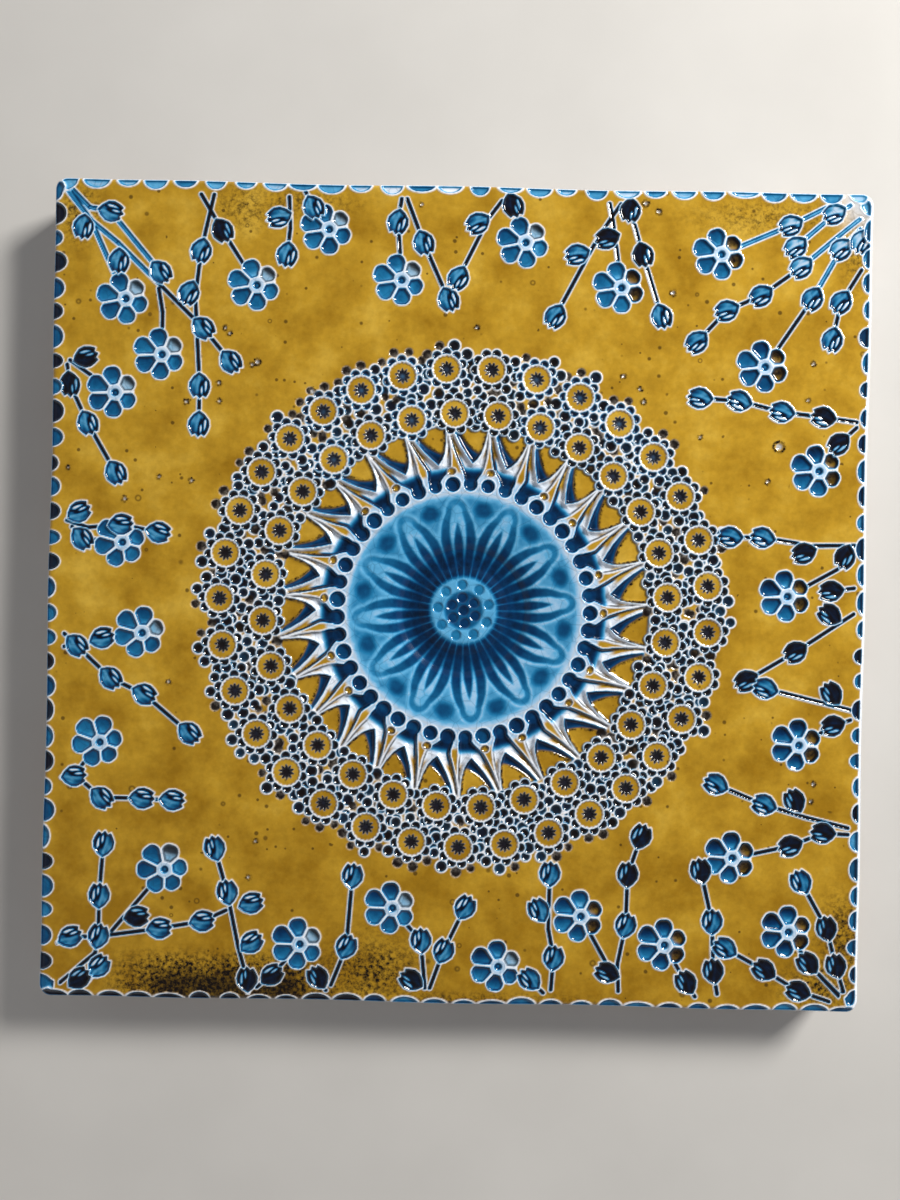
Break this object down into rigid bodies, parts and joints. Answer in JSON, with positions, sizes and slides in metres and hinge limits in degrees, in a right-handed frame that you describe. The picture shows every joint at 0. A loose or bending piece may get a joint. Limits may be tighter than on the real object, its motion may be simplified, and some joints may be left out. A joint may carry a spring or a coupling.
{
  "type": "decorative tile",
  "caption": "Square relief tile of yellow-glazed earthenware with a sunk rosette, rings of lobed flowers and sprays of buds, flat-backed so it can be fixed to a wall or laid on a table",
  "frame": {"origin": "centre of the flat back, where it rests on a table or is fixed to a wall", "axes": "+Z out of the decorated face; +Y towards the top edge as pictured; +X to the right, seen from the face"},
  "size_m": [0.15, 0.15, 0.0102],
  "materials": {
    "glaze": "gloss"
  },
  "bodies": {
    "root": {"tile": "glaze"}
  },
  "joints": []
}
